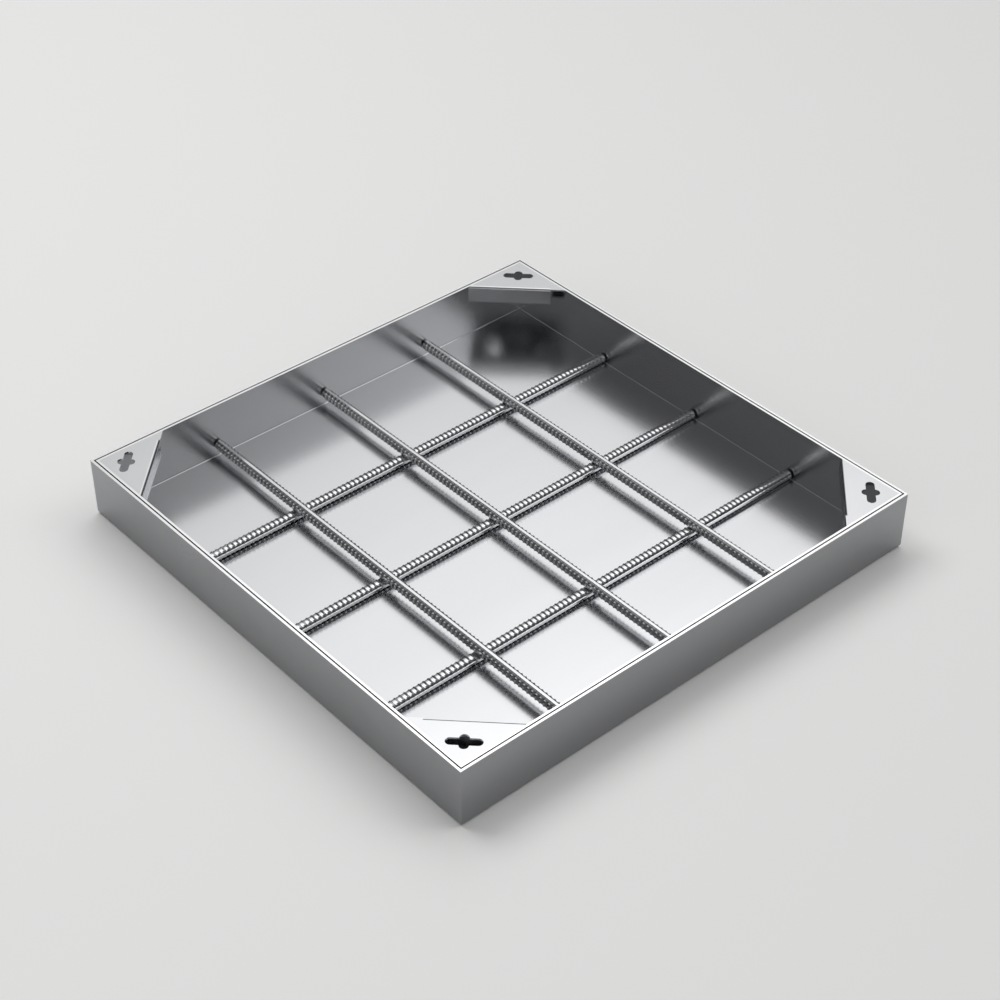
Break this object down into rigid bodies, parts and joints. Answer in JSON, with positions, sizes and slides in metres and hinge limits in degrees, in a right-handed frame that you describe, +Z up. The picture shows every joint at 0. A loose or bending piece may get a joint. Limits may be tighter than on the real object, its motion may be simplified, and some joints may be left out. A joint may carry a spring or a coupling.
{
  "type": "recessed paving cover",
  "caption": "Square recessed access cover: a folded stainless tray with ribbed bars and slotted corner plates, standing flush in a mitred angle frame.",
  "frame": {"origin": "centre of the underside of the frame", "axes": "+Z up out of the tray; X along the lower bars, Y along the upper bars"},
  "size_m": [0.6, 0.6, 0.07],
  "materials": {
    "frame": "fine satin stainless",
    "tray": "bright satin stainless",
    "corner_plate": "bright satin stainless",
    "bar": "rolled stainless bar"
  },
  "bodies": {
    "root": {"frame_front_right": "frame", "frame_back_right": "frame", "frame_back_left": "frame", "frame_front_left": "frame", "tray": "tray", "corner_plate_front": "corner_plate", "corner_plate_right": "corner_plate", "corner_plate_back": "corner_plate", "corner_plate_left": "corner_plate", "lower_bar_1": "bar", "lower_bar_2": "bar", "lower_bar_3": "bar", "upper_bar_1": "bar", "upper_bar_2": "bar", "upper_bar_3": "bar"}
  },
  "joints": []
}
